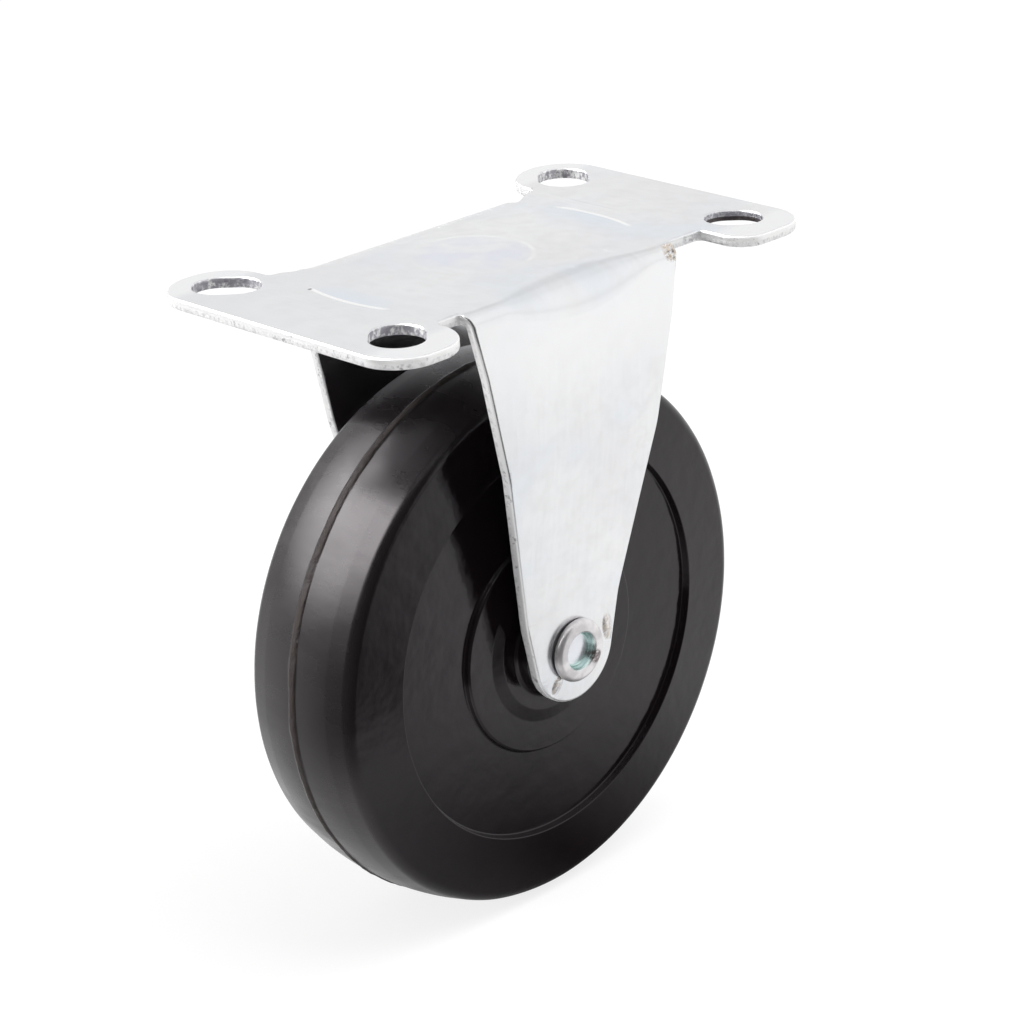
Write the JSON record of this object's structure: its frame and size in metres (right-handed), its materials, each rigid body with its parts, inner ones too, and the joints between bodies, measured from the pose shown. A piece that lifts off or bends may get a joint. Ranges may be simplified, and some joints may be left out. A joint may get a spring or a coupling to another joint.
{
  "type": "fixed castor",
  "caption": "Fixed plate castor: a solid rubber wheel turns on a hollow rivet between the legs of a folded steel bracket.",
  "frame": {"origin": "centre of the top plate's upper face", "axes": "+Z out of the upper face, away from the wheel; +X along the plate's length, the way the castor rolls; +Y along the axle"},
  "size_m": [0.1008, 0.0598, 0.1188],
  "materials": {
    "zinc_plated_steel": "bright zinc plate with a faint blue cast",
    "black_rubber": "satin moulded rubber",
    "rivet_steel": "rolled, zinc plated",
    "sleeve_steel": "plain drawn tube"
  },
  "bodies": {
    "bracket_body": {"bracket": "zinc_plated_steel", "hollow_rivet_axle": "rivet_steel", "spacer_sleeve": "sleeve_steel"},
    "wheel_body": {"wheel": "black_rubber"}
  },
  "joints": [
    {"name": "wheel_spin", "type": "hinge", "parent": "bracket_body", "child": "wheel_body", "pos_m": [0, 0, -0.0688], "axis": [0, 1, 0], "continuous": true}
  ]
}
